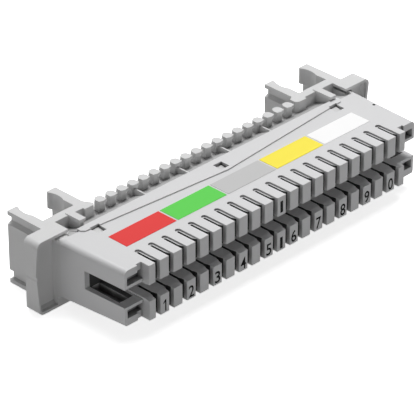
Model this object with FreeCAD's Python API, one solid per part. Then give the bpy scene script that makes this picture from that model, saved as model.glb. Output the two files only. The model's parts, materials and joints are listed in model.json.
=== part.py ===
import FreeCAD, Part
import math
import os

# Punch down wiring block for ten wire pairs, in millimetres.
# Two combs of plastic fingers, one above the other, hold forty insulation displacement contacts.
# A base closes the housing from behind. Its arms clip on two upright round rods.
# Working frame: X runs along the block, Y goes back from the finger fronts and Z goes up from
# the underside of the housing. The last step moves every piece once, so that the origin lies
# under the middle of the whole block.

Vector = FreeCAD.Vector

# Fingers and the wire slots between them
finger_count = 21
finger_pitch = 4.73
finger_width = 3.03
end_finger_width = 2.13
finger_proud = 2.3         # the fingers stand this far in front of the end blocks
comb_height = 5.65
mouth_end = 1.0            # the gap between two fingers is full width this far in
throat_front = 1.4         # then it is a throat for the wire's jacket
throat_width = 1.3
slit_front = 2.9           # that narrows to a slit
slit_end = 7.3
slit_width = 0.5
recess_depth = 0.5         # round ended trough in the outer face, over each slit
recess_end = 7.95

# Front housing
channel_height = 4.9       # long gap between the combs, where a test plug goes in
channel_depth = 13.4
lip_bevel = 0.3            # the channel's lips are bevelled by this much
lip_bevel_depth = 1.6
end_block_length = 6.35
housing_depth = 24.6
roof_tongue = 0.9          # the middle of the housing reaches this much further back
tongue_past_finger = 1.3   # and ends this far outside the middle of the last finger
end_flare = 1.05           # the end walls lean out by this much towards the back
end_wall = 1.8
underside_drop = 0.9       # the underside slopes down by this much towards the back
side_radius = 1.5
underside_radius = 0.7
window_end = 16.2          # the channel breaks through the end walls as far back as this
window_ease = 0.22         # and is this much wider there, above and below
hollow_front = 5.3
hollow_width = 2.6
hollow_skin = 1.8

# Open pockets in the four end blocks
pocket_wall = 0.85
pocket_height = 2.5
pocket_depth = 2.2
notch_length = 1.9
notch_depth = 0.65

# Flat band along the back of the roof
band_rise = 0.35
band_inset = 1.3           # its ends lie this far in front of the back of the end walls
band_point = 4.0           # and its middle this much further forward

# Snap windows, and the latch tongues that click into them
snap_width = 3.0
snap_length = 3.1
snap_back_wall = 2.0       # housing left between a window and the back of the roof tongue
end_snap_x = 44.5
snap_room_depth = 2.7
tongue_thickness = 1.2
tongue_clearance = 0.12
nose_drop = 0.6            # the nose that fills the window stays this much below the roof
nose_slope = 0.45          # and is this much lower at its front

# Contacts
metal = 0.4
blade_metal = 0.5
blade_width = 3.8
blade_front = 3.4
blade_length = 8.6
leaf_root = 0.6            # the spring leaf starts this far inside the blade
blade_slot = 0.3
blade_slot_length = 4.8
blade_mouth = 1.6
blade_rise = 2.6           # height of the blade's middle over the inner face of its comb
spring_width = 1.6
spring_drop = 0.5          # the spring leaf leaves the blade this much below its middle
spring_back_gap = 0.25     # between the back of the spring and the base
spring_bend = 0.9
touch_length = 1.2
touch_front = 16.2
tip_reach = 1.8
tip_lift = 1.1
contact_clearance = 0.06

# Colour labels on the roof
label_names = ("red", "green", "grey", "yellow", "white")
label_length = 17.66
label_width = 6.73
label_gap = 0.63
label_inset = 1.97         # between the labels and the middle of the band
label_thickness = 0.1

# Base: cross walls, wire guides and trough
base_over = 1.19           # the base stands this much higher than the housing
base_under = 4.1           # and reaches this much lower
trough_length = 6.3        # from the back of the end walls to the cross walls
wall_thickness = 2.7
trough_start = 0.3         # the trough's floor begins this much below the roof
trough_drop = 2.2          # and is this deep at the foot of the guides
guide_count = 19
guide_pitch = 3.895
guide_width = 2.7
guide_straight = 1.3
guide_bulge = 0.35         # the front of a guide's head bulges by this much
head_height = 0.9
neck_setback = 0.4         # the neck below starts this far behind the head's front corners
neck_width = 2.0
neck_depth = 1.9
guide_step = 0.8           # the guides stand this much in front of the cross walls
guide_end_length = 3.8     # thick stretch of wall beside the last guide
wall_chamfer = 0.8
left_wall_end = 0.1        # flat end of the wall, from which its back slants out to the arm
right_wall_end = 1.8
rib_width = 0.45
rib_places = (7.8, 23.45)

# Ledges that hold the housing's band down, the right one further out and longer
ledge_width = 2.1
left_ledge_x = 45.6
left_ledge_gap = 1.0       # the left one starts this far behind the roof tongue
right_ledge_x = 46.8
right_ledge_lap = 0.3      # the right one reaches this far over it
ledge_rise = 0.35          # they stand this much above the base
ledge_thickness = 0.85
ledge_overhang = 0.35

# Ears
ear_reach = 6.7            # from the end wall to the tip of the ear
ear_setback = 1.3          # the ear starts this far behind the end wall
ear_skin = 0.8
ear_wall = 0.8
ear_radius = 1.8
ear_hollow = 1.8
ear_hollow_bevel = 0.8
left_side_width = 3.115    # the block beside the trough, between the ear and the trough's floor
right_side_width = 1.715
tab_overhang = 1.0         # the ear's flat tab runs inward past that block by this much
ear_waist = 0.9            # the front edge of the ear's outer wall draws back at mid height
ear_split = 0.5            # groove between its upper and lower lip
ear_split_height = 0.9
ear_lower_step = 0.3

# Arms that clip on the mounting rods
rod_spacing = 95.0
rod_diameter = 12.0
rod_gap = 0.4              # between the rod and the cross wall
arm_past_rod = 3.7         # the arms end this far behind the rod's axis
jaw_lip_inset = 0.8        # each lip of the grip stands this far inside the rod's round
jaw_neck_inset = 0.6
jaw_mouth_inset = 0.55
jaw_height = 4.9
arm_thickness = 2.4        # from the rod's round to the arm's outward face
arm_web = 1.4
groove_depth = 1.3
groove_height = 2.0
groove_slope = 0.7
groove_lip = 1.2

# Flats round each small half-round end, of which there are many
round_facets = 5

# Joined shapes are sunk this far into each other, and cutters reach this far past a face
sunk = 1.0

# Sizes that follow from the ones above
slot_count = finger_count - 1
gap_width = finger_pitch - finger_width
housing_height = 2 * comb_height + channel_height
mid_height = housing_height / 2
last_finger_x = (finger_count - 1) / 2 * finger_pitch
roof_tongue_half = last_finger_x + tongue_past_finger
comb_half = last_finger_x - finger_width / 2 + end_finger_width
front_half = comb_half + end_block_length
back_half = front_half + end_flare
tongue_back = housing_depth + roof_tongue
band_end_y = housing_depth - band_inset
band_centre_y = band_end_y - band_point
label_front = band_centre_y - label_inset - label_width
base_top = housing_height + base_over
base_bottom = -base_under
wall_front = housing_depth + trough_length
wall_back = wall_front + wall_thickness
guide_front = wall_front - guide_step
window_half = channel_height / 2 + window_ease
rod_x = rod_spacing / 2
rod_radius = rod_diameter / 2
rod_y = wall_back + rod_gap + rod_radius
arm_tip_y = rod_y + arm_past_rod
base_middle = (base_top + base_bottom) / 2
base_half = (base_top - base_bottom) / 2
left_ledge_front = tongue_back + left_ledge_gap
right_ledge_front = tongue_back - right_ledge_lap
ear_front = housing_depth + ear_setback
ear_tip = back_half + ear_reach
left_tab_x = back_half - left_side_width - tab_overhang
right_tab_x = back_half - right_side_width - tab_overhang
guide_row_half = (guide_count - 1) / 2 * guide_pitch + guide_width / 2
wall_inner_x = guide_row_half + guide_pitch - guide_width
arm_outer_x = rod_x + rod_radius + arm_thickness
arm_inner_x = rod_x - rod_radius - arm_thickness
jaw_lip_half_gap = rod_radius - jaw_lip_inset
jaw_neck_half_gap = rod_radius - jaw_neck_inset
jaw_mouth_half_gap = rod_radius - jaw_mouth_inset
snap_back = tongue_back - snap_back_wall
spring_back = tongue_back - spring_back_gap
blade_z = mid_height + channel_height / 2 + blade_rise
spring_z = blade_z - spring_drop
blade_back = blade_front + blade_length
leaf_front = blade_back - leaf_root


def block(x0, x1, y0, y1, z0, z1):
    return Part.makeBox(x1 - x0, y1 - y0, z1 - z0, Vector(x0, y0, z0))


def prism(corners, direction):
    return Part.Face(Part.makePolygon(corners + corners[:1])).extrude(direction)


def plan_prism(outline, z0, z1):
    corners = [Vector(x, y, z0) for x, y in outline]
    return prism(corners, Vector(0, 0, z1 - z0))


def side_prism(outline, x0, x1):
    corners = [Vector(x0, y, z) for y, z in outline]
    return prism(corners, Vector(x1 - x0, 0, 0))


def front_prism(outline, y0, y1):
    corners = [Vector(x, y0, z) for x, z in outline]
    return prism(corners, Vector(0, y1 - y0, 0))


def mirror_left(shape):
    return shape.mirror(Vector(0, 0, 0), Vector(1, 0, 0))


def mirror_down(shape):
    return shape.mirror(Vector(0, 0, mid_height), Vector(0, 0, 1))


def both_ends(shapes):
    return shapes + [mirror_left(shape) for shape in shapes]


def both_levels(shapes):
    return shapes + [mirror_down(shape) for shape in shapes]


def moved(shape, x=0.0, y=0.0, z=0.0):
    return shape.translated(Vector(x, y, z))


def slot_x(number):
    return (number - (slot_count - 1) / 2) * finger_pitch


def half_round(radius, y):
    # points round the back of an outline that is twice the radius wide, from right to left
    points = []
    for step in range(round_facets + 1):
        angle = math.pi * step / round_facets
        points.append((radius * math.cos(angle), y + radius * math.sin(angle)))
    return points


def end_wall_edges(shape, low, high):
    # the long edges of the end walls whose middle lies between two heights
    found = []
    for edge in shape.Edges:
        middle = edge.CenterOfMass
        if edge.BoundBox.YLength > housing_depth / 2 and abs(middle.x) > comb_half and low < middle.z < high:
            found.append(edge)
    return found


def housing_body():
    half = [(roof_tongue_half, tongue_back), (roof_tongue_half, housing_depth),
            (back_half, housing_depth), (front_half, finger_proud)]
    outline = half + [(-x, y) for x, y in reversed(half)]
    section = [(finger_proud, 0), (finger_proud, housing_height), (tongue_back, housing_height),
               (tongue_back, -underside_drop)]
    body = plan_prism(outline, -underside_drop, housing_height)
    body = body.common(side_prism(section, -back_half, back_half))
    body = body.makeFillet(side_radius, end_wall_edges(body, mid_height, housing_height + sunk))
    body = body.makeFillet(underside_radius, end_wall_edges(body, -underside_drop, 0))
    comb_front = block(-comb_half, comb_half, 0, finger_proud, 0, housing_height)
    return body.fuse([comb_front, band()]).removeSplitter()


def band():
    half = [(roof_tongue_half, tongue_back), (roof_tongue_half, band_end_y + roof_tongue),
            (roof_tongue_half - roof_tongue, band_end_y)]
    outline = half + [(0, band_centre_y)] + [(-x, y) for x, y in reversed(half)]
    return plan_prism(outline, housing_height - side_radius, housing_height + band_rise)


def slot_cutter(number):
    # one wire slot of the upper comb: funnel and slit in plan, and the round ended recess
    half_gap = gap_width / 2
    half_throat = throat_width / 2
    half_slit = slit_width / 2
    right = [(half_gap, -sunk), (half_gap, mouth_end), (half_throat, throat_front), (half_slit, slit_front),
             (half_slit, slit_end)]
    outline = right + [(-x, y) for x, y in reversed(right)]
    inner = mid_height + channel_height / 2 - lip_bevel
    slit = plan_prism(outline, inner - lip_bevel, housing_height + sunk)
    rim = [(half_gap, -sunk)] + half_round(half_gap, recess_end - half_gap) + [(-half_gap, -sunk)]
    recess = plan_prism(rim, housing_height - recess_depth, housing_height + sunk)
    return moved(slit.fuse(recess), slot_x(number))


def blade_room(number):
    # slanting chamber, open to the back, that holds one contact's blade
    half_width = blade_width / 2 + contact_clearance
    half_metal = blade_metal / 2 + contact_clearance
    room = block(-half_width, half_width, blade_front - contact_clearance, tongue_back + sunk,
                 -half_metal, half_metal)
    room.rotate(Vector(0, 0, 0), Vector(0, 1, 0), -45)
    return moved(room, slot_x(number), 0, blade_z)


def spring_room(number):
    # cell for one pair of spring leaves, open to the channel and to the back
    half_width = spring_width / 2 + contact_clearance
    reach = spring_z + metal / 2 + contact_clearance - mid_height
    x = slot_x(number)
    low = mid_height - reach
    high = mid_height + reach
    front = leaf_front - contact_clearance
    return block(x - half_width, x + half_width, front, tongue_back + sunk, low, high)


def channel_cutter():
    # the long gap, with bevelled lips, as far as the last fingers
    half = channel_height / 2
    inner = half - lip_bevel
    upper = [(-sunk, half), (0, half), (lip_bevel_depth, inner), (channel_depth, inner)]
    outline = [(y, mid_height + z) for y, z in upper] + [(y, mid_height - z) for y, z in reversed(upper)]
    return side_prism(outline, -comb_half, comb_half)


def end_window():
    # the channel goes out through the end wall, and opens into a deep hollow behind it
    low = mid_height - window_half
    high = mid_height + window_half
    window = block(comb_half, back_half + sunk, -sunk, window_end, low, high)
    inner = comb_half + end_block_length - end_wall
    far = inner + end_flare * (window_end - hollow_front) / housing_depth
    outline = [(inner - hollow_width, hollow_front), (inner, hollow_front), (far, window_end),
               (inner - hollow_width, window_end)]
    return [window, plan_prism(outline, hollow_skin, housing_height - hollow_skin)]


def end_pocket():
    # front pocket of an upper end block, and the notch between the block and the last finger
    low = mid_height + window_half + pocket_wall
    high = low + pocket_height
    pocket = block(comb_half, front_half - pocket_wall, -sunk, finger_proud + pocket_depth, low, high)
    notch = block(comb_half, comb_half + notch_length, -sunk, finger_proud + notch_depth,
                  low, housing_height + sunk)
    return [pocket, notch]


def snap_places():
    return (-end_snap_x, 0.0, end_snap_x)


def snap_room(x):
    # window in the roof, over the room that takes a latch tongue from behind
    half = snap_width / 2
    low = housing_height - snap_room_depth
    under_roof = low + tongue_thickness + 2 * tongue_clearance
    window = block(x - half, x + half, snap_back - snap_length, snap_back, low, housing_height + sunk)
    way_in = block(x - half, x + half, snap_back - snap_length, tongue_back + sunk, low, under_roof)
    return [window, way_in]


def contact_housing():
    cutters = [channel_cutter()]
    cutters += both_ends(end_window())
    cutters += both_levels(both_ends(end_pocket()))
    for x in snap_places():
        cutters += both_levels(snap_room(x))
    for number in range(slot_count):
        cutters += both_levels([slot_cutter(number), blade_room(number)])
        cutters.append(spring_room(number))
    return housing_body().cut(cutters)


def strip(points, thickness):
    # outline of a bent strip of even thickness round a line of points
    left = []
    right = []
    for index, (y, z) in enumerate(points):
        before = points[max(index - 1, 0)]
        after = points[min(index + 1, len(points) - 1)]
        turn_in = unit(before, (y, z)) if index else unit((y, z), after)
        turn_out = unit((y, z), after) if index < len(points) - 1 else turn_in
        normal = (-turn_in[1] - turn_out[1], turn_in[0] + turn_out[0])
        along = normal[0] * -turn_in[1] + normal[1] * turn_in[0]
        shift = thickness / 2 / along
        left.append((y + normal[0] * shift, z + normal[1] * shift))
        right.append((y - normal[0] * shift, z - normal[1] * shift))
    return left + right[::-1]


def unit(start, end):
    dy = end[0] - start[0]
    dz = end[1] - start[1]
    length = math.hypot(dy, dz)
    return (dy / length, dz / length)


def contact_blade():
    # forked blade: the wire is pushed down its slot, which cuts the insulation
    half = blade_width / 2
    slot_end = blade_front + blade_slot_length
    mouth_end = blade_front + blade_mouth / 2
    right = [(blade_slot / 2, slot_end), (blade_slot / 2, mouth_end), (blade_mouth / 2, blade_front),
             (half, blade_front), (half, blade_back)]
    outline = right + [(-x, y) for x, y in reversed(right)]
    blade = plan_prism(outline, -blade_metal / 2, blade_metal / 2)
    blade.rotate(Vector(0, 0, 0), Vector(0, 1, 0), -45)
    return moved(blade, 0, 0, blade_z)


def spring_leaf():
    # leaf that runs back from the blade, turns round and presses on its twin in the middle
    back = spring_back - metal / 2
    touch_z = mid_height + metal / 2
    points = [(leaf_front, spring_z), (back - spring_bend, spring_z), (back, spring_z - spring_bend),
              (touch_front + touch_length, touch_z), (touch_front, touch_z),
              (touch_front - tip_reach, touch_z + tip_lift)]
    return side_prism(strip(points, metal), -spring_width / 2, spring_width / 2)


def upper_contact():
    return contact_blade().fuse(spring_leaf()).removeSplitter()


def label(number):
    step = label_length + label_gap
    x = (number - (len(label_names) - 1) / 2) * step
    return block(x - label_length / 2, x + label_length / 2, label_front, label_front + label_width,
                 housing_height, housing_height + label_thickness)


def wire_guide(root, tip):
    # one guide post: a square neck under a head with a bulging front and a round back
    half = guide_width / 2
    head = [(-half, guide_front), (0, guide_front - guide_bulge), (half, guide_front)]
    head += half_round(half, guide_front + guide_straight)
    side = neck_width / 2
    front = guide_front + neck_setback
    neck = [(-side, front), (side, front), (side, front + neck_depth), (-side, front + neck_depth)]
    under_head = tip - math.copysign(head_height, tip - root)
    return plan_prism(head, under_head, tip).fuse(plan_prism(neck, root, under_head))


def wire_guides():
    upper = wire_guide(housing_height - trough_drop - sunk, base_top)
    lower = wire_guide(trough_drop + sunk, base_bottom)
    guides = []
    for number in range(guide_count):
        x = (number - (guide_count - 1) / 2) * guide_pitch
        guides.append(moved(upper, x))
        guides.append(moved(lower, x))
    return guides


def trough(front, x0, x1):
    # the base's own box: its floors slope from the housing down to the wire guides
    upper = [(front, housing_height - trough_start), (guide_front, housing_height - trough_drop),
             (wall_back, housing_height - trough_drop)]
    lower = [(y, housing_height - z) for y, z in reversed(upper)]
    return side_prism(upper + lower, x0, x1)


def rib(x):
    # thin web across the trough, level with the start of its floor
    level = housing_height - trough_start
    back = guide_front + neck_setback + sunk
    return block(x - rib_width / 2, x + rib_width / 2, tongue_back, back, level - trough_drop, level)


def cross_wall(end_length):
    # cross wall between the last wire guide and the outer arm, thicker beside the guide
    thick_end = wall_inner_x + guide_end_length
    end_front = guide_front + wall_chamfer
    outline = [(wall_inner_x, end_front), (wall_inner_x, end_front + end_length),
               (arm_inner_x, wall_back), (arm_outer_x, wall_back), (arm_outer_x, wall_front),
               (thick_end, wall_front), (thick_end, guide_front), (wall_inner_x + wall_chamfer, guide_front)]
    return plan_prism(outline, base_bottom, base_top)


def ledge(x, front):
    # raised bar from the cross wall to the back of the roof band, with a slightly wider top
    half = ledge_width / 2
    core = half - ledge_overhang
    back = wall_front + sunk
    high = base_top + ledge_rise
    low = high - ledge_thickness
    foot_front = max(front + ledge_overhang, tongue_back + tongue_clearance)
    top = block(x - half, x + half, front, back, low, high)
    foot = block(x - core, x + core, foot_front, back, housing_height - trough_drop - sunk, low)
    return top.fuse(foot)


def outer_edges(shape):
    # edges that run from front to back outside the housing's end wall
    return [edge for edge in shape.Edges
            if edge.BoundBox.YLength > sunk and edge.BoundBox.XMin > back_half - sunk]


def ear_shell(tab_x):
    # outer form of the ear, with round outer corners and a front edge that draws back at mid height
    shell = block(tab_x, ear_tip, ear_front, wall_front, base_bottom, base_top)
    high = base_middle + base_half - ear_radius
    low = base_middle - base_half + ear_radius
    outline = [(ear_front - sunk, high), (ear_front, high), (ear_front + ear_waist, base_middle),
               (ear_front, low), (ear_front - sunk, low)]
    shell = shell.makeFillet(ear_radius, outer_edges(shell))
    return shell.cut(side_prism(outline, back_half, ear_tip + sunk))


def ear_room():
    # shallow hollow in the ear's front, round in its outer corners and bevelled along its back
    room = block(back_half, ear_tip - ear_wall, ear_front - sunk, ear_front + ear_hollow,
                 base_bottom + ear_skin, base_top - ear_skin)
    corners = [edge for edge in outer_edges(room) if edge.BoundBox.XMin > back_half + sunk]
    room = room.makeFillet(ear_radius - ear_wall, corners)
    rear = [edge for edge in room.Edges
            if edge.BoundBox.YMin > ear_front and edge.BoundBox.XMax > back_half + sunk]
    return room.makeChamfer(ear_hollow_bevel, rear)


def ear_lips():
    # cutter for the groove that parts the outer wall in two lips, the lower one set in a little
    high = base_middle + ear_split_height / 2
    low = base_middle - ear_split_height / 2
    outline = [(ear_tip + sunk, high), (ear_tip - ear_split, high), (ear_tip - ear_split, low),
               (ear_tip - ear_lower_step, low - ear_split), (ear_tip - ear_lower_step, base_bottom - sunk),
               (ear_tip + sunk, base_bottom - sunk)]
    return front_prism(outline, ear_front - sunk, wall_front + 2 * sunk)


def ear(tab_x):
    # wing with a flat tab that runs inward, just clear of the side block below it
    low = housing_height - trough_start
    high = base_top - ear_skin
    under_front = block(tab_x - sunk, back_half, ear_front - sunk, ear_front + tab_overhang, low, high)
    under_side = block(tab_x - sunk, tab_x + tab_overhang, ear_front - sunk, wall_front, low, high)
    side = block(tab_x + tab_overhang, back_half, housing_depth, wall_front, -underside_drop, housing_height)
    top_edges = [edge for edge in outer_edges(side) if edge.BoundBox.ZMin > mid_height]
    side = side.makeFillet(side_radius, top_edges)
    return ear_shell(tab_x).cut([ear_room(), ear_lips(), under_front, under_side]).fuse(side)


def outer_arm():
    # on its outward side are a lip, a groove and a pad, above and below
    out = arm_outer_x
    deep = out - groove_depth
    high = base_top - groove_lip
    low = base_bottom + groove_lip
    outline = [(rod_x, base_top), (out, base_top), (out, high), (deep, high), (deep, high - groove_height),
               (out, high - groove_height - groove_slope), (out, low + groove_height + groove_slope),
               (deep, low + groove_height), (deep, low), (out, low), (out, base_bottom), (rod_x, base_bottom)]
    solid = front_prism(outline, wall_back - sunk, arm_tip_y)
    below = base_bottom - sunk
    above = base_top + sunk
    grip = Part.makeCylinder(rod_radius, above - below, Vector(rod_x, rod_y, below))
    lip_y = rod_y + math.sqrt(rod_radius ** 2 - jaw_lip_half_gap ** 2)
    neck_y = rod_y - math.sqrt(rod_radius ** 2 - jaw_neck_half_gap ** 2)
    neck_x = rod_x + jaw_neck_half_gap
    way_in = [(rod_x, wall_back), (neck_x, wall_back), (neck_x, neck_y), (rod_x + jaw_lip_half_gap, lip_y),
              (rod_x + jaw_mouth_half_gap, arm_tip_y + sunk), (rod_x, arm_tip_y + sunk)]
    throat = plan_prism(way_in, below, above)
    relief = block(rod_x, out - arm_web, wall_back, arm_tip_y + sunk,
                   base_bottom + jaw_height, base_top - jaw_height)
    return solid.cut([grip, throat, relief])


def rod_arms():
    # an outer and an inner arm face each other across the rod
    outer = outer_arm()
    inner = outer.mirror(Vector(rod_x, 0, 0), Vector(1, 0, 0))
    return [outer, inner]


def latch_tongue(x):
    # tongue that reaches into a snap room, with a nose that fills the window over it
    half = snap_width / 2 - tongue_clearance
    low = housing_height - snap_room_depth + tongue_clearance
    high = low + tongue_thickness
    front = snap_back - snap_length + tongue_clearance
    nose_back = snap_back - tongue_clearance
    nose_high = housing_height - nose_drop
    outline = [(tongue_back + sunk, low), (front, low), (front, nose_high - nose_slope),
               (nose_back, nose_high),
               (nose_back, high), (tongue_back + sunk, high)]
    return side_prism(outline, x - half, x + half)


def base_end(ledge_x, ledge_front, tab_x, wall_end):
    # everything at the right end of the base
    floor = trough(housing_depth, roof_tongue_half, tab_x + tab_overhang)
    return [floor, cross_wall(wall_end), ledge(ledge_x, ledge_front), ear(tab_x)] + rod_arms()


def mounting_base():
    body = trough(tongue_back, -roof_tongue_half, roof_tongue_half)
    left_end = base_end(left_ledge_x, left_ledge_front, left_tab_x, left_wall_end)
    pieces = base_end(right_ledge_x, right_ledge_front, right_tab_x, right_wall_end)
    pieces += [mirror_left(piece) for piece in left_end]
    pieces += wire_guides()
    for x in rib_places:
        pieces += both_levels(both_ends([rib(x)]))
    for x in snap_places():
        pieces += both_levels([latch_tongue(x)])
    return body.fuse(pieces).removeSplitter()


def export(name, shape):
    # the origin goes under the middle of the block, at the height of its lowest face
    placed = moved(shape, 0, -arm_tip_y / 2, base_under)
    placed.exportStep("parts/" + name + ".step")
    print(name, len(placed.Solids), round(placed.Volume, 3), placed.isValid())


def main():
    os.makedirs("parts", exist_ok=True)
    export("contact_housing", contact_housing())
    export("mounting_base", mounting_base())
    contact = upper_contact()
    for number in range(slot_count):
        upper = moved(contact, slot_x(number))
        export("upper_contact_%02d" % (number + 1), upper)
        export("lower_contact_%02d" % (number + 1), mirror_down(upper))
    for number, name in enumerate(label_names):
        export("label_" + name, label(number))


main()
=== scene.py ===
# %% [markdown]
# # A punch down wiring block
#
# This block joins the wires of ten telephone pairs. A grey plastic housing carries two rows of
# fingers. Between each two fingers a slotted metal blade waits for a wire that is pushed in from
# the front. The housing sits in a second moulding whose arms snap on two round rods behind it.
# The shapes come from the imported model. This lesson gives them their finish: satin plastic with
# softened edges, silvered contacts, glossy colour fields and black print, and then a floor,
# lamps and a camera.

# %% Load the model and keep its box
import json
import math

import bmesh
import bpy
from mathutils import Matrix, Vector

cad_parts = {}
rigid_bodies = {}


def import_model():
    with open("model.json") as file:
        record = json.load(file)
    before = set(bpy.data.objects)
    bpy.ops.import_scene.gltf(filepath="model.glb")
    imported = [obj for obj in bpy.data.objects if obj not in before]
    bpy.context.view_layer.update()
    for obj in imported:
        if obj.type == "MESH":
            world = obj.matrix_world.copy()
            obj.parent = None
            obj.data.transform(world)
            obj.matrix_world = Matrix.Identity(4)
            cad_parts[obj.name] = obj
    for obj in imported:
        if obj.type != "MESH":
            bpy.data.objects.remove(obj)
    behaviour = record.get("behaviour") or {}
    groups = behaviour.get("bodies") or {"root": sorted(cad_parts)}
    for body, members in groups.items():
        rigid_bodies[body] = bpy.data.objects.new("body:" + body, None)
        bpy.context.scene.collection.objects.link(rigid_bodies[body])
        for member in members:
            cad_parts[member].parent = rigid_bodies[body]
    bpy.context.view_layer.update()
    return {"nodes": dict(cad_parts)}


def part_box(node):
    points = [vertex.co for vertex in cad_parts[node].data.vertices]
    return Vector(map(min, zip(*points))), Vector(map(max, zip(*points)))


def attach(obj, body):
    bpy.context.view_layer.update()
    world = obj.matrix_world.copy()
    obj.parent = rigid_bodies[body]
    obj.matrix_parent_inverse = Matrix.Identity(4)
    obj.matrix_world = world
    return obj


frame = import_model()
MM = 0.001
print("Loaded", len(frame["nodes"]), "pieces")

# %% [markdown]
# ## Sort the pieces by what they are made of
#
# The loaded pieces already have their shape and place, so each only needs a material. A short
# list for each kind keeps the later steps readable. We could pick the objects by hand in the
# outliner, but names are safer, because they stay the same when the model is made again.

# %% Sort the pieces
housing = bpy.data.objects["contact_housing"]
base = bpy.data.objects["mounting_base"]
contacts = [piece for piece in bpy.data.objects if "_contact_" in piece.name]
label_names = ["label_red", "label_green", "label_grey", "label_yellow", "label_white"]
print("Mouldings:", housing.name, base.name)
print("Contacts:", len(contacts), "Labels:", len(label_names))

# %% [markdown]
# ## Colours as the eye names them
#
# Colour pickers show a grey such as 217 on a scale from 0 to 255. Blender's materials count
# light instead, on a scale where 217 is about 0.69. This small helper turns one into the other,
# so that the colours below can be written as they look.

# %% A helper for colours
def linear(level):
    share = level / 255
    if share <= 0.04045:
        return share / 12.92
    return ((share + 0.055) / 1.055) ** 2.4


def colour(red, green, blue):
    return (linear(red), linear(green), linear(blue), 1.0)


print("Grey 217 is", round(colour(217, 217, 217)[0], 3), "of full light")

# %% [markdown]
# ## Building blocks for finishes
#
# Several materials need the same kind of surface: a colour that drifts a little from place to
# place, a gloss that isn't even, and a fine relief. A node group is built once and placed in
# each material with its own values. The first helper makes an empty group with named sockets,
# and the second joins nodes with fewer words.

# %% Helpers for node groups
def empty_group(name, inputs, outputs):
    group = bpy.data.node_groups.new(name, "ShaderNodeTree")
    for label, kind, value in inputs:
        socket = group.interface.new_socket(label, in_out="INPUT", socket_type=kind)
        socket.default_value = value
    for label, kind in outputs:
        group.interface.new_socket(label, in_out="OUTPUT", socket_type=kind)
    print("Group", name, "with", len(inputs), "inputs")
    return group


def add_node(tree, kind, **settings):
    node = tree.nodes.new(kind)
    for name, value in settings.items():
        setattr(node, name, value)
    return node


# %% [markdown]
# ## The grain of a moulded surface
#
# A mould for such plastic is spark eroded, which leaves a very fine even grain on the part and
# takes away the mirror gloss. The plastic also cools unevenly, so its shade drifts slightly over
# a centimetre or two. One fine noise gives the grain, and one wide noise gives the drift of
# shade and gloss. A picture texture could do this too, but noise needs no unwrapping and has no
# seams.

# %% The moulded grain group
def make_moulded_grain():
    group = empty_group(
        "Moulded grain",
        [
            ("Color", "NodeSocketColor", (0.7, 0.7, 0.7, 1.0)),
            ("Shade drift", "NodeSocketFloat", 0.04),
            ("Drift scale", "NodeSocketFloat", 60.0),
            ("Grain scale", "NodeSocketFloat", 2600.0),
            ("Roughness", "NodeSocketFloat", 0.5),
            ("Gloss drift", "NodeSocketFloat", 0.08),
        ],
        [
            ("Color", "NodeSocketColor"),
            ("Roughness", "NodeSocketFloat"),
            ("Height", "NodeSocketFloat"),
        ],
    )
    given = add_node(group, "NodeGroupInput")
    result = add_node(group, "NodeGroupOutput")
    place = add_node(group, "ShaderNodeTexCoord")
    drift = add_node(group, "ShaderNodeTexNoise")
    grain = add_node(group, "ShaderNodeTexNoise")
    drift.inputs["Detail"].default_value = 3.0
    grain.inputs["Detail"].default_value = 4.0
    centred = add_node(group, "ShaderNodeMath", operation="SUBTRACT")
    centred.inputs[1].default_value = 0.5
    shade = add_node(group, "ShaderNodeMath", operation="MULTIPLY_ADD")
    shade.inputs[2].default_value = 1.0
    gloss = add_node(group, "ShaderNodeMath", operation="MULTIPLY_ADD")
    tinted = add_node(group, "ShaderNodeVectorMath", operation="SCALE")
    link = group.links.new
    link(place.outputs["Object"], drift.inputs["Vector"])
    link(place.outputs["Object"], grain.inputs["Vector"])
    link(given.outputs["Drift scale"], drift.inputs["Scale"])
    link(given.outputs["Grain scale"], grain.inputs["Scale"])
    link(drift.outputs["Fac"], centred.inputs[0])
    link(centred.outputs[0], shade.inputs[0])
    link(given.outputs["Shade drift"], shade.inputs[1])
    link(grain.outputs["Fac"], gloss.inputs[0])
    link(given.outputs["Gloss drift"], gloss.inputs[1])
    link(given.outputs["Roughness"], gloss.inputs[2])
    link(given.outputs["Color"], tinted.inputs[0])
    link(shade.outputs[0], tinted.inputs["Scale"])
    link(tinted.outputs["Vector"], result.inputs["Color"])
    link(gloss.outputs[0], result.inputs["Roughness"])
    link(grain.outputs["Fac"], result.inputs["Height"])
    return group


moulded_grain = make_moulded_grain()

# %% [markdown]
# ## The lines of rolled metal
#
# The contacts are stamped from rolled and silvered spring bronze. Rolling leaves fine lines along
# the strip. The same noise as before, read from coordinates that are squeezed along one axis,
# turns into such lines. Silver also tarnishes a little, so a wide noise mixes a warmer colour
# into the bright one.

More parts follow.
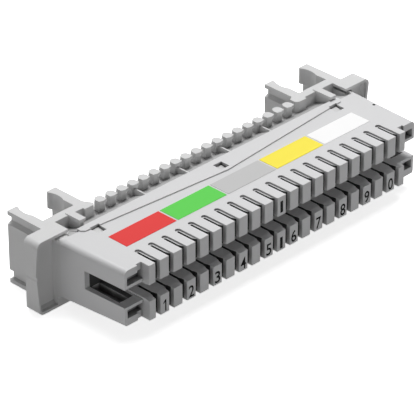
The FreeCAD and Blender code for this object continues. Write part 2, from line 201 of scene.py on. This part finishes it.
# %% The rolled metal group
def make_rolled_lines():
    group = empty_group(
        "Rolled lines",
        [
            ("Color", "NodeSocketColor", (0.9, 0.9, 0.88, 1.0)),
            ("Tarnish", "NodeSocketColor", (0.6, 0.5, 0.35, 1.0)),
            ("Tarnish scale", "NodeSocketFloat", 300.0),
            ("Line scale", "NodeSocketFloat", 9000.0),
            ("Roughness", "NodeSocketFloat", 0.3),
            ("Gloss drift", "NodeSocketFloat", 0.15),
        ],
        [
            ("Color", "NodeSocketColor"),
            ("Roughness", "NodeSocketFloat"),
            ("Height", "NodeSocketFloat"),
        ],
    )
    given = add_node(group, "NodeGroupInput")
    result = add_node(group, "NodeGroupOutput")
    place = add_node(group, "ShaderNodeTexCoord")
    squeeze = add_node(group, "ShaderNodeVectorMath", operation="MULTIPLY")
    squeeze.inputs[1].default_value = (1.0, 0.06, 1.0)
    lines = add_node(group, "ShaderNodeTexNoise")
    cloud = add_node(group, "ShaderNodeTexNoise")
    spots = add_node(group, "ShaderNodeMapRange")
    spots.inputs["From Min"].default_value = 0.5
    spots.inputs["From Max"].default_value = 0.8
    spots.inputs["To Max"].default_value = 0.5
    mixed = add_node(group, "ShaderNodeMix", data_type="RGBA")
    gloss = add_node(group, "ShaderNodeMath", operation="MULTIPLY_ADD")
    link = group.links.new
    link(place.outputs["Object"], squeeze.inputs[0])
    link(squeeze.outputs[0], lines.inputs["Vector"])
    link(place.outputs["Object"], cloud.inputs["Vector"])
    link(given.outputs["Line scale"], lines.inputs["Scale"])
    link(given.outputs["Tarnish scale"], cloud.inputs["Scale"])
    link(cloud.outputs["Fac"], spots.inputs["Value"])
    link(spots.outputs["Result"], mixed.inputs["Factor"])
    link(given.outputs["Color"], mixed.inputs["A"])
    link(given.outputs["Tarnish"], mixed.inputs["B"])
    link(lines.outputs["Fac"], gloss.inputs[0])
    link(given.outputs["Gloss drift"], gloss.inputs[1])
    link(given.outputs["Roughness"], gloss.inputs[2])
    link(mixed.outputs["Result"], result.inputs["Color"])
    link(gloss.outputs[0], result.inputs["Roughness"])
    link(lines.outputs["Fac"], result.inputs["Height"])
    return group


rolled_lines = make_rolled_lines()

# %% [markdown]
# ## From a group to a material
#
# A material is a group with its own values, a bump that turns the group's height into relief,
# and the shader. The bump's distance is in metres: a few thousandths of a millimetre is what a
# fingertip feels as satin. Values that are the same all over, such as the strength of the
# reflection, are set on the shader itself.

# %% A helper for materials
def shader_of(material):
    return material.node_tree.nodes["Principled BSDF"]


def finish(name, group, relief, values):
    material = bpy.data.materials.new(name)
    material.use_nodes = True
    tree = material.node_tree
    shader = shader_of(material)
    surface = add_node(tree, "ShaderNodeGroup", node_tree=group)
    for label, value in values.items():
        surface.inputs[label].default_value = value
    bump = add_node(tree, "ShaderNodeBump")
    bump.inputs["Distance"].default_value = relief
    tree.links.new(surface.outputs["Height"], bump.inputs["Height"])
    tree.links.new(surface.outputs["Color"], shader.inputs["Base Color"])
    tree.links.new(surface.outputs["Roughness"], shader.inputs["Roughness"])
    tree.links.new(bump.outputs["Normal"], shader.inputs["Normal"])
    print("Material", name)
    return material


def paint(piece, material):
    piece.data.materials.clear()
    piece.data.materials.append(material)


# %% [markdown]
# ## Grey plastic for the two mouldings
#
# Housing and base are both light grey, but they come from two moulds and two batches, so they
# never match fully. The base gets a slightly darker shade and a coarser grain.

# %% The two greys
housing_grey = finish(
    "Satin grey housing plastic",
    moulded_grain,
    0.012 * MM,
    {
        "Color": colour(215, 215, 216),
        "Shade drift": 0.05,
        "Drift scale": 70.0,
        "Grain scale": 2800.0,
        "Roughness": 0.42,
        "Gloss drift": 0.14,
    },
)
base_grey = finish(
    "Satin grey base plastic",
    moulded_grain,
    0.016 * MM,
    {
        "Color": colour(213, 213, 213),
        "Shade drift": 0.06,
        "Drift scale": 55.0,
        "Grain scale": 2200.0,
        "Roughness": 0.46,
        "Gloss drift": 0.14,
    },
)
paint(housing, housing_grey)
paint(base, base_grey)

# %% [markdown]
# ## Shade in the recesses
#
# In the narrow slots between the fingers hardly any light is left. Ambient Occlusion measures how
# open the surroundings of a point are, up to a given reach, and that number scales the colour. A
# long reach shades the wide channel, and a short one the corners. We could leave this to the lamps
# alone, but the floor and the world throw so much light about that deep slots would look grey.

# %% Darken closed places
def shade(material, measure, dark_at, light_at, darkest):
    tree = material.node_tree
    shader = shader_of(material)
    plain = shader.inputs["Base Color"].links[0].from_socket
    level = add_node(tree, "ShaderNodeMapRange")
    level.inputs["From Min"].default_value = dark_at
    level.inputs["From Max"].default_value = light_at
    level.inputs["To Min"].default_value = darkest
    level.inputs["To Max"].default_value = 1.0
    shaded = add_node(tree, "ShaderNodeVectorMath", operation="SCALE")
    tree.links.new(measure, level.inputs["Value"])
    tree.links.new(plain, shaded.inputs[0])
    tree.links.new(level.outputs["Result"], shaded.inputs["Scale"])
    tree.links.new(shaded.outputs["Vector"], shader.inputs["Base Color"])


def openness(material, reach):
    nearness = add_node(material.node_tree, "ShaderNodeAmbientOcclusion", samples=16)
    nearness.inputs["Distance"].default_value = reach
    return nearness.outputs["AO"]


shade(housing_grey, openness(housing_grey, 5.0 * MM), 0.1, 0.6, 0.1)
shade(housing_grey, openness(housing_grey, 1.2 * MM), 0.3, 0.75, 0.45)
shade(base_grey, openness(base_grey, 3.0 * MM), 0.1, 0.55, 0.65)
print("Recesses shaded in", housing_grey.name, "and", base_grey.name)

# %% [markdown]
# ## Shade in a known place
#
# Some places need their own shade: the throats and slits between the fingers, the hollows behind
# the windows in the end walls, and the floor of the trough behind the roof. This group tells
# whether a point lies in a box, with a soft border. It takes the smallest distance to any side of
# the box, which is negative outside.

# %% The box group
def make_inside_box():
    group = empty_group(
        "Inside a box",
        [
            ("Place", "NodeSocketVector", (0.0, 0.0, 0.0)),
            ("Low corner", "NodeSocketVector", (-1.0, -1.0, -1.0)),
            ("High corner", "NodeSocketVector", (1.0, 1.0, 1.0)),
            ("Soft border", "NodeSocketFloat", 0.0001),
        ],
        [("Mask", "NodeSocketFloat")],
    )
    given = add_node(group, "NodeGroupInput")
    result = add_node(group, "NodeGroupOutput")
    above = add_node(group, "ShaderNodeVectorMath", operation="SUBTRACT")
    below = add_node(group, "ShaderNodeVectorMath", operation="SUBTRACT")
    nearest = add_node(group, "ShaderNodeVectorMath", operation="MINIMUM")
    axes = add_node(group, "ShaderNodeSeparateXYZ")
    first = add_node(group, "ShaderNodeMath", operation="MINIMUM")
    second = add_node(group, "ShaderNodeMath", operation="MINIMUM")
    border = add_node(group, "ShaderNodeMapRange")
    link = group.links.new
    link(given.outputs["Place"], above.inputs[0])
    link(given.outputs["Low corner"], above.inputs[1])
    link(given.outputs["High corner"], below.inputs[0])
    link(given.outputs["Place"], below.inputs[1])
    link(above.outputs[0], nearest.inputs[0])
    link(below.outputs[0], nearest.inputs[1])
    link(nearest.outputs[0], axes.inputs[0])
    link(axes.outputs["X"], first.inputs[0])
    link(axes.outputs["Y"], first.inputs[1])
    link(first.outputs[0], second.inputs[0])
    link(axes.outputs["Z"], second.inputs[1])
    link(second.outputs[0], border.inputs["Value"])
    link(given.outputs["Soft border"], border.inputs["From Max"])
    link(border.outputs["Result"], result.inputs["Mask"])
    return group


inside_box = make_inside_box()

# %% [markdown]
# ## Small steps in a node tree
#
# A place is three numbers, and often only one of them has to change before the box group reads it.
# These helpers take a place apart, calculate with one number and put the place together again.
# The last one tells how far a face looks up, from a share of 0 to a share of 1.

# %% Helpers for places and masks
def box_mask(tree, place, low, high, border):
    box = add_node(tree, "ShaderNodeGroup", node_tree=inside_box)
    box.inputs["Low corner"].default_value = low
    box.inputs["High corner"].default_value = high
    box.inputs["Soft border"].default_value = border
    tree.links.new(place, box.inputs["Place"])
    return box.outputs["Mask"]


def place_apart(tree):
    place = add_node(tree, "ShaderNodeTexCoord")
    axes = add_node(tree, "ShaderNodeSeparateXYZ")
    tree.links.new(place.outputs["Object"], axes.inputs[0])
    return axes


def place_together(tree, axes, new_x):
    joined = add_node(tree, "ShaderNodeCombineXYZ")
    tree.links.new(new_x, joined.inputs["X"])
    tree.links.new(axes.outputs["Y"], joined.inputs["Y"])
    tree.links.new(axes.outputs["Z"], joined.inputs["Z"])
    return joined.outputs[0]


def calculate(tree, operation, first, number=None):
    node = add_node(tree, "ShaderNodeMath", operation=operation)
    tree.links.new(first, node.inputs[0])
    if number is not None:
        node.inputs[1].default_value = number
    return node.outputs[0]


def both(tree, first, second):
    node = add_node(tree, "ShaderNodeMath", operation="MULTIPLY")
    tree.links.new(first, node.inputs[0])
    tree.links.new(second, node.inputs[1])
    return node.outputs[0]


def looks_up(tree, none, full):
    surface = add_node(tree, "ShaderNodeNewGeometry")
    facing = add_node(tree, "ShaderNodeSeparateXYZ")
    share = add_node(tree, "ShaderNodeMapRange")
    share.inputs["From Min"].default_value = none
    share.inputs["From Max"].default_value = full
    tree.links.new(surface.outputs["Normal"], facing.inputs[0])
    tree.links.new(facing.outputs["Z"], share.inputs["Value"])
    return share.outputs["Result"]


print("Box masks read a group with", len(inside_box.nodes), "nodes")

# %% [markdown]
# ## The slots between the fingers
#
# A wire is pushed through a mouth and a throat into a slit. Throat and slit lie in deep shade,
# which is painted into the colour as nearly black.
# They repeat with the pitch of the fingers. Ping-pong folds the long row over and over, so that one
# box stands for all of them, and in the throats only upright faces take part. Past the end of the
# row the folded place stands still, which leaves the end blocks as they are.

# %% Paint shade into the throats and the slits
housing_low, housing_high = (Vector(corner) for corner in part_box("contact_housing"))
FINGER_PITCH = 4.73 * MM
BAND_RISE = 0.35 * MM
front_plane = housing_low.y
roof = housing_high.z - BAND_RISE


def folded_place(tree):
    axes = place_apart(tree)
    one_side = calculate(tree, "ABSOLUTE", axes.outputs["X"])
    in_row = calculate(tree, "MINIMUM", one_side, 10 * FINGER_PITCH)
    folded = calculate(tree, "PINGPONG", in_row, FINGER_PITCH / 2)
    return place_together(tree, axes, folded)


def slot_mask(tree, half_width, start, end, top, border):
    low = (FINGER_PITCH / 2 - half_width, front_plane + start, housing_low.z)
    high = (FINGER_PITCH, front_plane + end, top)
    return box_mask(tree, folded_place(tree), low, high, border)


tree = housing_grey.node_tree
# Painted shade: throats and slits keep only this share of their colour.
PAINTED_SLOT_SHADE = 0.03
throat = slot_mask(tree, 0.84 * MM, 0.95 * MM, 2.95 * MM, roof - 0.05 * MM, 0.05 * MM)
shade(housing_grey, both(tree, throat, looks_up(tree, 0.6, 0.4)), 1.0, 0.0, PAINTED_SLOT_SHADE)
slit = slot_mask(tree, 0.36 * MM, 2.7 * MM, 7.25 * MM, roof - 0.1 * MM, 0.01 * MM)
shade(housing_grey, slit, 1.0, 0.0, PAINTED_SLOT_SHADE)
print("Throats and slits darkened under the roof at z =", round(roof / MM, 2), "mm")

# %% [markdown]
# ## The hollows behind the windows
#
# The plug channel opens through a window in each end wall. Behind the wall's own thickness it is
# dark in there. The two ends mirror each other, so the place loses the sign of its X, and one box
# serves both.

# %% Darken the hollows
CHANNEL_MIDDLE = roof - 8.1 * MM
HOLLOW_REACH = 3.0 * MM
axes = place_apart(tree)
mirrored = place_together(tree, axes, calculate(tree, "ABSOLUTE", axes.outputs["X"]))
hollow_low = (48.6 * MM, front_plane + 5.3 * MM, CHANNEL_MIDDLE - HOLLOW_REACH)
hollow_high = (53.3 * MM, front_plane + 24.0 * MM, CHANNEL_MIDDLE + HOLLOW_REACH)
hollow = box_mask(tree, mirrored, hollow_low, hollow_high, 0.05 * MM)
shade(housing_grey, hollow, 1.0, 0.0, 0.08)
print("Hollows from x =", round(hollow_low[0] / MM, 1), "to", round(hollow_high[0] / MM, 1), "mm")

# %% [markdown]
# ## The floor of the trough
#
# Behind the roof the wires lie in a trough, whose floor slopes down to the wire guides. Less and
# less light gets in there, so the floor gets darker on its way back. Only faces that look up take
# part, and the sides of the guides keep their colour.

# %% Darken the trough's floor
TROUGH_START = front_plane + 25.0 * MM
GUIDE_FRONT = front_plane + 29.9 * MM
WALL_BACK = front_plane + 32.5 * MM
FLOOR_TOP = roof - 0.31 * MM
FAR_AWAY = 100 * MM

tree = base_grey.node_tree
axes = place_apart(tree)
place = place_together(tree, axes, axes.outputs["X"])
floor_low = (-FAR_AWAY, TROUGH_START, 0.0)
floor_high = (FAR_AWAY, WALL_BACK, FLOOR_TOP)
in_trough = box_mask(tree, place, floor_low, floor_high, 0.01 * MM)
on_floor = both(tree, in_trough, looks_up(tree, 0.5, 0.7))
slope = add_node(tree, "ShaderNodeMapRange")
slope.inputs["From Min"].default_value = TROUGH_START
slope.inputs["From Max"].default_value = GUIDE_FRONT
slope.inputs["To Min"].default_value = 0.15
slope.inputs["To Max"].default_value = 0.45
tree.links.new(axes.outputs["Y"], slope.inputs["Value"])
shade(base_grey, both(tree, on_floor, slope.outputs["Result"]), 1.0, 0.0, 0.0)
print("Trough shaded over", round((GUIDE_FRONT - TROUGH_START) / MM, 1), "mm")

# %% [markdown]
# ## Soft edges
#
# No moulded edge is knife sharp. Even a tenth of a millimetre of rounding catches a thin line of
# light, and the eye reads it as plastic. The loaded meshes are loose triangles, so a Weld joins
# their corners first. Then a Bevel rounds every edge that turns by more than its angle, and the
# flat joins inside a face stay as they are.

# %% Round the edges of the mouldings
def soften(piece, width, angle):
    weld = piece.modifiers.new("Join the corners", "WELD")
    weld.merge_threshold = 0.001 * MM
    bevel = piece.modifiers.new("Soft edges", "BEVEL")
    bevel.width = width
    bevel.segments = 2
    bevel.limit_method = "ANGLE"
    bevel.angle_limit = angle
    bevel.use_clamp_overlap = True
    bevel.harden_normals = False
    view = piece.evaluated_get(bpy.context.evaluated_depsgraph_get())
    print(piece.name, "has", len(view.to_mesh().polygons), "faces with soft edges")
    view.to_mesh_clear()


soften(housing, 0.05 * MM, math.radians(40))
soften(base, 0.08 * MM, math.radians(40))

# %% [markdown]
# ## Silvered contacts
#
# The blades and springs are bright where they are rubbed and a little yellow elsewhere. The
# shader is fully metallic, so its colour is the colour of the reflection. The lines along the
# strip break that reflection up. Where the contacts sit deep in the housing, shade is painted into
# that colour.

# %% The contact metal
contact_silver = finish(
    "Silvered spring bronze",
    rolled_lines,
    0.003 * MM,
    {
        "Color": colour(238, 236, 230),
        "Tarnish": colour(205, 184, 148),
        "Tarnish scale": 420.0,
        "Line scale": 9000.0,
        "Roughness": 0.24,
        "Gloss drift": 0.16,
    },
)
shader_of(contact_silver).inputs["Metallic"].default_value = 1.0
# Painted shade: where the housing closes round the contacts, their colour darkens to a fiftieth.
shade(contact_silver, openness(contact_silver, 8.0 * MM), 0.2, 0.6, 0.02)
for contact in contacts:
    paint(contact, contact_silver)
print("Painted", len(contacts), "contacts")

# %% [markdown]
# ## The colour fields
#
# Five adhesive fields mark groups of lines. They are thin printed film, smoother than the plastic
# around them. The same grain group at a finer scale gives the slight unevenness of the ink. The
# film's reflection is weak, because a strong one would turn the colours pale from above.

# %% The label films
FIELD_COLOURS = {
    "label_red": colour(228, 38, 36),
    "label_green": colour(86, 211, 72),
    "label_grey": colour(197, 197, 197),
    "label_yellow": colour(255, 237, 69),
    "label_white": colour(255, 255, 255),
}
for name in label_names:
    film = finish(
        "Printed film " + name[6:],
        moulded_grain,
        0.004 * MM,
        {
            "Color": FIELD_COLOURS[name],
            "Shade drift": 0.03,
            "Drift scale": 240.0,
            "Grain scale": 6000.0,
            "Roughness": 0.3,
            "Gloss drift": 0.1,
        },
    )
    shader_of(film).inputs["Specular IOR Level"].default_value = 0.3
    paint(bpy.data.objects[name], film)

# %% [markdown]
# ## Black print
#
# The numbers on the lower fingers are pad printed. The ink lies two hundredths of a millimetre
# thick on the plastic. It is dull, and its black is uneven where the pad left less of it.

# %% The ink
ink = finish(
    "Black pad print",
    moulded_grain,
    0.004 * MM,
    {
        "Color": colour(5, 5, 6),
        "Shade drift": 0.4,
        "Drift scale": 900.0,
        "Grain scale": 5000.0,
        "Roughness": 0.6,
        "Gloss drift": 0.15,
    },
)
shader_of(ink).inputs["Specular IOR Level"].default_value = 0.08

# %% [markdown]
# ## Numbers on the fingers
#
# Each contact pair is counted on the lower row. A text object brings its outlines ready made. It
# is turned into a mesh, measured, and then scaled, stood upright and moved to the front of its
# finger, all in its mesh, so that the object itself stays at the origin.

# %% Measure the fingers
INK_THICKNESS = 0.02 * MM
lower_middle = housing_low.z + 3.1 * MM
upper_middle = housing_low.z + 14.0 * MM
print("Finger fronts at y =", round(front_plane / MM, 2), "mm")


# %% Print the numbers
def text_mesh(name, words):
    curve = bpy.data.curves.new(name + " outline", "FONT")
    curve.body = words
    curve.extrude = 0.5
    curve.offset = 0.012
    draft = bpy.data.objects.new(name + " outline", curve)
    bpy.context.collection.objects.link(draft)
    bpy.context.view_layer.update()
    mesh = bpy.data.meshes.new_from_object(draft)
    bpy.data.objects.remove(draft)
    bpy.data.curves.remove(curve)
    return mesh


def fit_mesh(mesh, width, height, depth):
    low = Vector(min(v.co[axis] for v in mesh.vertices) for axis in range(3))
    high = Vector(max(v.co[axis] for v in mesh.vertices) for axis in range(3))
    size = high - low
    scale = Matrix.Diagonal((width / size.x, height / size.y, depth / size.z, 1.0))
    mesh.transform(scale @ Matrix.Translation(-(low + high) / 2))


def add_print(name, mesh, place):
    mesh.transform(place)
    mark = bpy.data.objects.new(name, mesh)
    bpy.context.collection.objects.link(mark)
    paint(mark, ink)
    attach(mark, "root")
    return mark


UPRIGHT = Matrix.Rotation(math.radians(90), 4, "X")
DIGIT_HEIGHT = 3.45 * MM
DIGIT_WIDTH = 1.9 * MM
for step, digit in enumerate("234567890"):
    finger_middle = (2 * step - 7) * FINGER_PITCH
    mesh = text_mesh("number " + digit, digit)
    fit_mesh(mesh, DIGIT_WIDTH, DIGIT_HEIGHT, 2 * INK_THICKNESS)
    place = Matrix.Translation((finger_middle, front_plane, lower_middle))
    add_print("number_" + digit, mesh, place @ UPRIGHT)
print("Nine numbers printed")

# %% [markdown]
# ## The one, the bars and the dot
#
# Blender's own font draws a one as a bare stroke, so the one with its flag is drawn here corner
# by corner. A black bar on both middle fingers parts the first five pairs from the last five, and
# a small dot marks the last end of the roof. A bar starts as one flat face. Its corners are
# rounded with a bevel, as a printing pad leaves them, and it is then extruded to the thickness of
# the ink.

# %% Print the one, the bars and the dot
def thicken(sheet, thickness):
    faces = list(sheet.faces)
    raised = bmesh.ops.extrude_face_region(sheet, geom=faces)["geom"]
    points = [item for item in raised if isinstance(item, bmesh.types.BMVert)]
    bmesh.ops.translate(sheet, vec=(0, 0, thickness), verts=points)
    bmesh.ops.recalc_face_normals(sheet, faces=sheet.faces)


def to_mesh(sheet, name):
    mesh = bpy.data.meshes.new(name)
    sheet.to_mesh(mesh)
    sheet.free()
    return mesh


def bar_mesh(name, width, height):
    bar = bmesh.new()
    bmesh.ops.create_grid(bar, x_segments=1, y_segments=1, size=0.5)
    bmesh.ops.scale(bar, vec=(width, height, 1), verts=bar.verts)
    bmesh.ops.bevel(
        bar,
        geom=bar.verts,
        offset=0.08 * MM,
        affect="VERTICES",
        segments=3,
        profile=0.5,
        material=-1,
    )
    thicken(bar, INK_THICKNESS)
    return to_mesh(bar, name)


STEM = [(0.08, -1.72), (0.5, -1.72), (0.5, 1.72), (0.16, 1.72)]
FLAG = [(-0.52, 0.98), (-0.52, 0.5), (0.08, 1.0)]
one = bmesh.new()
one.faces.new([one.verts.new((x * MM, y * MM, 0)) for x, y in STEM + FLAG])
thicken(one, INK_THICKNESS)
place = Matrix.Translation((-9 * FINGER_PITCH, front_plane, lower_middle))
add_print("number_1", to_mesh(one, "number 1"), place @ UPRIGHT)

for row, middle in (("lower", lower_middle), ("upper", upper_middle)):
    mesh = bar_mesh("bar " + row, 1.0 * MM, 3.4 * MM)
    place = Matrix.Translation((0, front_plane, middle))
    add_print("bar_" + row, mesh, place @ UPRIGHT)

DOT_CENTRE = (53.04 * MM, -5.9 * MM, 20.3 * MM)
dot = bmesh.new()
bmesh.ops.create_circle(dot, cap_ends=True, segments=24, radius=0.42 * MM)
thicken(dot, INK_THICKNESS)
add_print("dot", to_mesh(dot, "dot"), Matrix.Translation(DOT_CENTRE))
print("One, bars and dot printed")

# %% [markdown]
# ## A pale floor
#
# The block lies on a plain white table. The camera should see it white, but so much light thrown
# back up would wash out the dark sides of the block. Light Path tells the rays apart: rays from
# the camera and reflections meet white with a little glow of its own, and all others meet a dark
# grey. The glow is weak enough to leave the shadow of the block visible.

# %% Lay the floor
def seen_directly(tree):
    path = add_node(tree, "ShaderNodeLightPath")
    first = add_node(tree, "ShaderNodeMath", operation="MAXIMUM")
    second = add_node(tree, "ShaderNodeMath", operation="MAXIMUM")
    tree.links.new(path.outputs["Is Camera Ray"], first.inputs[0])
    tree.links.new(path.outputs["Is Glossy Ray"], first.inputs[1])
    tree.links.new(first.outputs[0], second.inputs[0])
    tree.links.new(path.outputs["Is Transmission Ray"], second.inputs[1])
    return second.outputs[0]


FLOOR_HALF = 4.0
sheet = bmesh.new()
bmesh.ops.create_grid(sheet, x_segments=1, y_segments=1, size=FLOOR_HALF)
floor = bpy.data.objects.new("floor", to_mesh(sheet, "floor"))
bpy.context.collection.objects.link(floor)
table = bpy.data.materials.new("White table")
table.use_nodes = True
tree = table.node_tree
direct = seen_directly(tree)
table_colour = add_node(tree, "ShaderNodeMix", data_type="RGBA")
table_colour.inputs["A"].default_value = (0.25, 0.25, 0.25, 1.0)
table_colour.inputs["B"].default_value = (1.0, 1.0, 1.0, 1.0)
glow = add_node(tree, "ShaderNodeMath", operation="MULTIPLY")
glow.inputs[1].default_value = 0.75
surface = shader_of(table)
tree.links.new(direct, table_colour.inputs["Factor"])
tree.links.new(table_colour.outputs["Result"], surface.inputs["Base Color"])
tree.links.new(direct, glow.inputs[0])
tree.links.new(glow.outputs[0], surface.inputs["Emission Strength"])
surface.inputs["Emission Color"].default_value = (1.0, 1.0, 1.0, 1.0)
surface.inputs["Roughness"].default_value = 0.9
surface.inputs["Specular IOR Level"].default_value = 0.0
paint(floor, table)
print("Floor laid")

# %% [markdown]
# ## Soft light
#
# Product pictures of this kind have one large lamp nearly overhead, so that tops are bright and
# fronts are plainly darker. A wide area lamp gives soft shadows under the fingers. It hangs a
# little behind the block and to its right, which keeps the left sides of the slots dark.

# %% Hang the lamps
def area_lamp(name, place, target, size, power):
    light = bpy.data.lights.new(name, "AREA")
    light.shape = "SQUARE"
    light.size = size
    light.energy = power
    lamp = bpy.data.objects.new(name, light)
    aim = (Vector(target) - Vector(place)).to_track_quat("-Z", "Y")
    lamp.matrix_world = Matrix.Translation(place) @ aim.to_matrix().to_4x4()
    bpy.context.collection.objects.link(lamp)
    return lamp


SOFTBOX_PLACE = (0.3, 0.25, 1.1)
SOFTBOX_SIZE = 0.6
SOFTBOX_WATTS = 12.3
area_lamp("overhead softbox", SOFTBOX_PLACE, (0, 0, 0), SOFTBOX_SIZE, SOFTBOX_WATTS)
print("Lamps:", [item.name for item in bpy.data.lights])

# %% [markdown]
# ## A ring of light round the horizon
#
# The upright faces get their light from the world. Near the horizon the world is bright, and from
# 24 degrees up it is nearly dark, so the recesses get no light from above. The left half is
# brighter than the right, as in the picture. The camera itself and reflections see plain white.

# %% Light the world
world = bpy.data.worlds.new("Studio")
world.use_nodes = True
tree = world.node_tree
sky = tree.nodes["Background"]
sky.inputs["Color"].default_value = (1.0, 1.0, 1.0, 1.0)
place = add_node(tree, "ShaderNodeTexCoord")
axes = add_node(tree, "ShaderNodeSeparateXYZ")
ring = add_node(tree, "ShaderNodeMapRange")
ring.inputs["From Min"].default_value = math.sin(math.radians(12))
ring.inputs["From Max"].default_value = math.sin(math.radians(24))
ring.inputs["To Min"].default_value = 1.05
ring.inputs["To Max"].default_value = 0.05
sideways = add_node(tree, "ShaderNodeMapRange")
sideways.inputs["From Min"].default_value = -1.0
sideways.inputs["From Max"].default_value = 1.0
sideways.inputs["To Min"].default_value = 1.25
sideways.inputs["To Max"].default_value = 0.5
glow = add_node(tree, "ShaderNodeMath", operation="MULTIPLY")
level = add_node(tree, "ShaderNodeMix", data_type="FLOAT")
level.inputs["B"].default_value = 1.0
tree.links.new(place.outputs["Generated"], axes.inputs[0])
tree.links.new(axes.outputs["Z"], ring.inputs["Value"])
tree.links.new(axes.outputs["X"], sideways.inputs["Value"])
tree.links.new(ring.outputs["Result"], glow.inputs[0])
tree.links.new(sideways.outputs["Result"], glow.inputs[1])
tree.links.new(seen_directly(tree), level.inputs["Factor"])
tree.links.new(glow.outputs[0], level.inputs["A"])
tree.links.new(level.outputs["Result"], sky.inputs["Strength"])
bpy.context.scene.world = world
print("World", world.name, "lit with", len(tree.nodes), "nodes")

# %% [markdown]
# ## The camera
#
# The picture was taken from above the left front corner with a long lens, which keeps the long
# edges of the block nearly parallel. The camera is placed by turning it round the middle of the
# finger row, moving it back, and sliding it a little sideways and up.

# %% Place the camera
AZIMUTH = math.radians(-45.214)
ELEVATION = math.radians(30.745)
ROLL = math.radians(-0.159)
back = Vector(
    (
        math.sin(AZIMUTH) * math.cos(ELEVATION),
        -math.cos(AZIMUTH) * math.cos(ELEVATION),
        math.sin(ELEVATION),
    )
)
level_right = Vector((math.cos(AZIMUTH), math.sin(AZIMUTH), 0))
level_up = back.cross(level_right)
right = math.cos(ROLL) * level_right + math.sin(ROLL) * level_up
up = -math.sin(ROLL) * level_right + math.cos(ROLL) * level_up
DISTANCE = 813.2 * MM
SLIDE_LEFT = 18.59 * MM
SLIDE_UP = 10.38 * MM
finger_row = Vector((0, -21.85 * MM, 4.1 * MM))
stand = finger_row + back * DISTANCE - right * SLIDE_LEFT + up * SLIDE_UP

lens = bpy.data.cameras.new("camera")
lens.sensor_fit = "HORIZONTAL"
lens.sensor_width = 36.0
lens.lens = 267.2
lens.clip_start = 0.01
camera = bpy.data.objects.new("camera", lens)
turn = Matrix((right, up, back)).transposed().to_4x4()
camera.matrix_world = Matrix.Translation(stand) @ turn
bpy.context.collection.objects.link(camera)
scene = bpy.context.scene
scene.camera = camera
scene.view_settings.view_transform = "Standard"
print("Camera stands", round(stand.length, 3), "m away")
